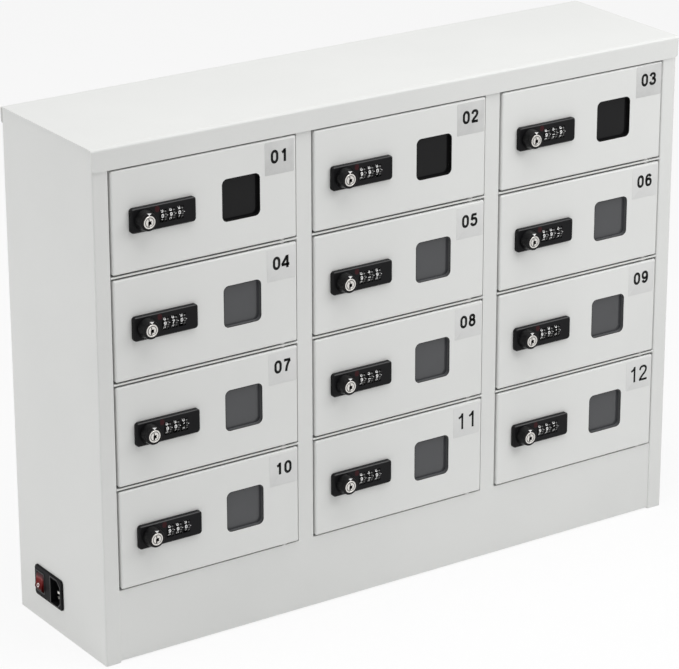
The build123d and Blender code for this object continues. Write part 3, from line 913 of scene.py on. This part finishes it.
def addRockerMark(look=rockerLook):
    white = inkMaterial("rockerInk")
    joint = next(j for j in frame["joints"] if j["child"] == "rocker_switch")
    outer = look["ringRadius"] + look["ringWidth"] / 2
    inner = look["ringRadius"] - look["ringWidth"] / 2
    front = -look["ink"]
    ring = turned([(inner, 0), (outer, 0), (outer, front), (inner, front)], look["steps"])
    turnedBy(ring, -90, "Z")
    bmesh.ops.translate(ring, verts=ring.verts, vec=(0, look["aside"], -look["below"]))
    for vertex in ring.verts:
        vertex.co.x -= rockerDepth(-vertex.co.z)
    turnedBy(ring, look["tilt"], "Y")
    addPiece("rockerRing", placed(ring, joint["pos_m"]), white, "rocker_switch")


addRockerMark()

# Low rims round the inlet's socket and its switch.
rimLook = {
    "width": 0.9, "depth": 0.3, "clear": 0.1,
    "socket": {"length": 24, "width": 16, "chamfer": 4.6, "offset": -socketSizes["fromMiddle"]},
    "rocker": {"length": 17.4, "width": 12.4, "chamfer": 0.6, "offset": 13.4},
}


def addInletRims(look=rimLook):
    plastic = plasticMaterial("rimPlastic", "rim")
    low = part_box("power_inlet")[0]
    middle = middleOf("power_inlet")
    for name in ("socket", "rocker"):
        rim = look[name]
        cut = rim["chamfer"]
        wide = rim["width"] / 2 + look["clear"]
        high = rim["length"] / 2 + look["clear"]
        right = ((wide - cut, high), (wide, high - cut), (wide, cut - high), (wide - cut, -high))
        corners = ((-wide, high), *right, (-wide, -high))
        form = flatRim(corners, look["width"], look["depth"])
        turnedBy(form, -90, "Z")
        placed(form, Vector((low.x, middle.y + rim["offset"] * mm, middle.z)))
        addPiece(name + "Rim", form, plastic, "cabinet")


addInletRims()

# A contact tongue in each charging port. Plates give width, height, depth and corner.
portLook = {
    "stripDepth": 18, "portDepth": 9, "tongueUp": 0.9, "edge": 0.2,
    "tongue": (11.0, 1.9, 8.0, 0.2), "contact": (1.2, 0.08, 6.0, 0.02), "pitch": 2.5, "count": 4,
}


def addPortTongues(look=portLook):
    plastic = plasticMaterial("tonguePlastic", "charger")
    nickel = metalMaterial("contactNickel", "nickel")
    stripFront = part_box("back_panel")[0].y - look["stripDepth"] * mm
    under = -look["tongue"][1] / 2
    for number in doorIds:
        middle = middleOf("door_" + number)
        bottom = Vector((middle.x, stripFront + look["portDepth"] * mm, middle.z + look["tongueUp"] * mm))
        tongue = roundedPlate(*look["tongue"], look["edge"])
        addPiece("tongue_" + number, placed(tongue, bottom), plastic, "cabinet")
        contacts = bmesh.new()
        for place in range(look["count"]):
            contact = roundedPlate(*look["contact"])
            shift = (place - (look["count"] - 1) / 2) * look["pitch"]
            bmesh.ops.translate(contact, verts=contact.verts, vec=(shift, 0, under))
            join(contacts, contact)
        addPiece("portContacts_" + number, placed(contacts, bottom), nickel, "cabinet")


addPortTongues()
print("inlet and charger details done")

# Stage, lights and camera: places are in metres and angles in degrees.

# The floor glows white to the camera by its white share, and takes shadows with the rest.
stageLook = {
    "floorSize": 14, "grain": 60, "dark": (0.86, 0.86, 0.86), "pale": (0.9, 0.9, 0.9), "roughness": 0.85,
    "white": (1, 1, 1, 1), "whiteShare": 0.85, "worldLight": 0.31,
}


def addFloor(look=stageLook):
    form = bmesh.new()
    bmesh.ops.create_grid(form, x_segments=2, y_segments=2, size=look["floorSize"] / 2)
    mesh = bpy.data.meshes.new("floor")
    form.to_mesh(mesh)
    form.free()
    floor = linked("floor", mesh)
    shader = Shader("floorPaper")
    tone = shader.mix(shader.noise(look["grain"], detail=3), look["dark"], look["pale"])
    paper = shader.surface({"Base Color": tone, "Roughness": look["roughness"]})
    glow = shader.node("ShaderNodeEmission", None, {"Color": look["white"], "Strength": 1.0})
    seen = seenRays(shader) * look["whiteShare"]
    mesh.materials.append(shader.done(shader.either(seen, paper, glow)))
    floor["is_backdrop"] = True


def seenRays(shader):  # 1 for camera, glossy and transmitted rays
    rays = ("Is Camera Ray", "Is Glossy Ray", "Is Transmission Ray")
    camera, glossy, passed = (shader.node("ShaderNodeLightPath", out=ray) for ray in rays)
    return camera.atLeast(glossy).atLeast(passed)


def addWorld(look=stageLook):  # white to the seen rays, and a dimmer light to the rest
    shader = Shader("studio", "World")
    light, white = (
        shader.node("ShaderNodeBackground", None, {"Color": look["white"], "Strength": strength})
        for strength in (look["worldLight"], 1.0)
    )
    bpy.context.scene.world = shader.done(shader.either(seenRays(shader), light, white))


lampLook = {
    "top": {"place": (-0.2, -0.5, 2.6), "size": 2.2, "power": 42},
    "right": {"place": (0.6, -0.8, 0.9), "size": 0.5, "power": 3.8},
    "left": {"place": (-1.4, 0.4, 0.5), "size": 0.8, "power": 4.4},
}


def addLamps(looks=lampLook):
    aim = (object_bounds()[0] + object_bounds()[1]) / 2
    for name, look in looks.items():
        lamp = bpy.data.lights.new(name, "AREA")
        lamp.size = look["size"]
        lamp.energy = look["power"]
        holder = linked(name, lamp)
        holder.location = look["place"]
        holder.rotation_euler = (aim - Vector(look["place"])).to_track_quat("-Z", "Y").to_euler()
        holder.visible_camera = False


cameraLook = {
    "place": (-1.49165, -2.19657, 1.2215), "azimuth": -33.945, "elevation": 20.806, "roll": -0.12,
    "lens": 169.953, "sensor": 36,
}


def addCamera(look=cameraLook):
    lens = bpy.data.cameras.new("camera")
    lens.lens = look["lens"]
    lens.sensor_width = look["sensor"]
    camera = linked("camera", lens)
    turn = Matrix.Rotation(math.radians(look["azimuth"]), 4, "Z")
    tip = Matrix.Rotation(math.radians(90 - look["elevation"]), 4, "X")
    roll = Matrix.Rotation(math.radians(look["roll"]), 4, "Z")
    camera.matrix_world = Matrix.Translation(look["place"]) @ turn @ tip @ roll
    bpy.context.scene.camera = camera


addFloor()
addWorld()
addLamps()
addCamera()
bpy.context.scene.view_settings.view_transform = "Standard"
print("stage, lights and camera done")
